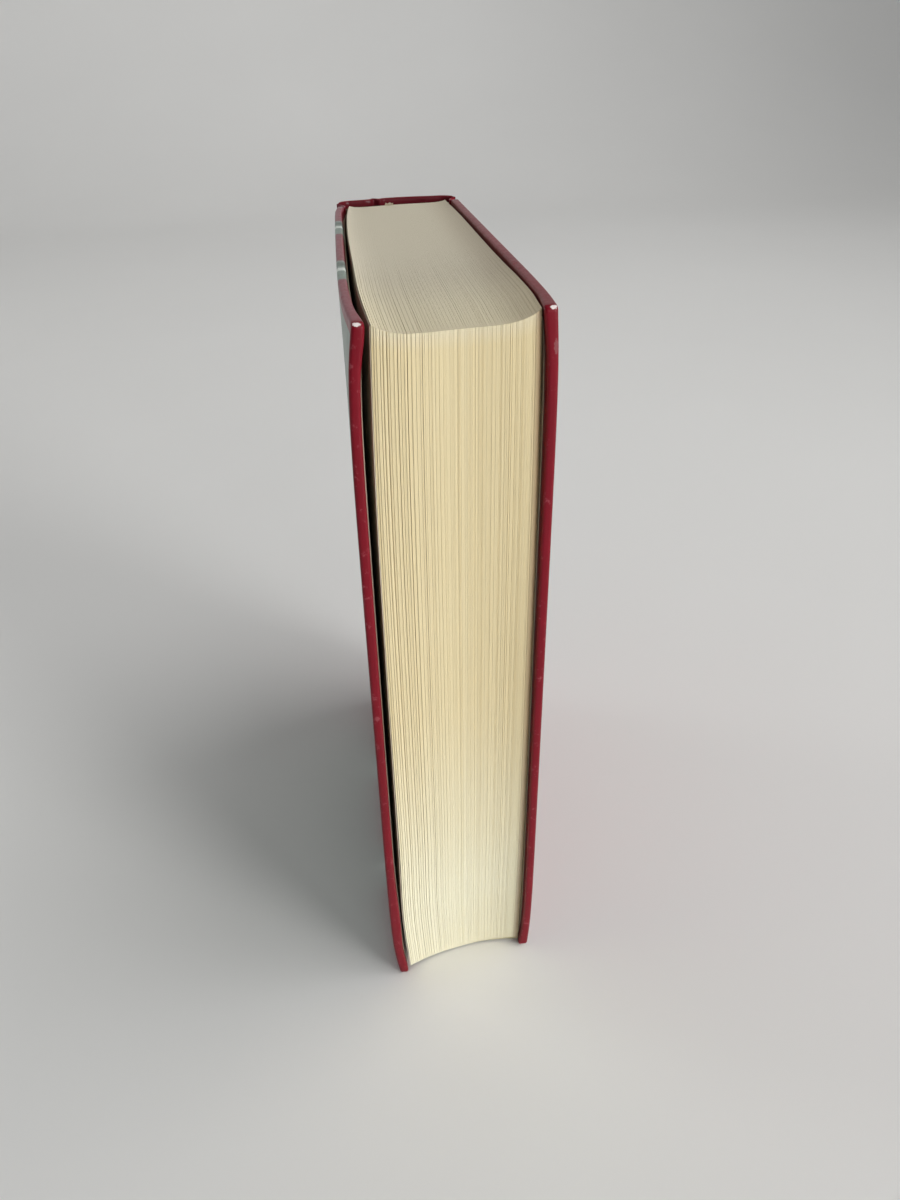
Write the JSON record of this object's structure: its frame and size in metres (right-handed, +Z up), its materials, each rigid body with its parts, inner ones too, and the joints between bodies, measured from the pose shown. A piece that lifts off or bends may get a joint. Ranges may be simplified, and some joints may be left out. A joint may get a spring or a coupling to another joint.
{
  "type": "hardcover book",
  "caption": "Case-bound hardcover book standing on its tail, with warped covers that open on the spine joints and a thick block of leaves.",
  "frame": {"origin": "middle of the bounding box's footprint, on the surface that the book stands on", "axes": "+Z up from tail to head, +X from the front cover to the back cover, +Y from the fore edge to the spine"},
  "size_m": [0.0462, 0.1446, 0.21],
  "materials": {
    "leaves": "matte",
    "endpaper": "matte",
    "cover": "gloss",
    "board": "matte",
    "lining": "matte"
  },
  "bodies": {
    "block": {"text_block": "leaves", "spine_lining": "lining", "front_flyleaf": "endpaper", "back_flyleaf": "endpaper", "spine_card": "board", "spine_paper": "cover"},
    "front_cover": {"front_board": "board", "front_cover_paper": "cover", "front_pastedown": "endpaper"},
    "back_cover": {"back_board": "board", "back_cover_paper": "cover", "back_pastedown": "endpaper"}
  },
  "joints": [
    {"name": "front_cover_hinge", "type": "hinge", "parent": "block", "child": "front_cover", "pos_m": [-0.0193, 0.06517, 0.105], "axis": [0, 0, -1], "range_deg": [0, 178]},
    {"name": "back_cover_hinge", "type": "hinge", "parent": "block", "child": "back_cover", "pos_m": [0.0203, 0.06977, 0.105], "axis": [0, 0, 1], "range_deg": [0, 178]}
  ]
}
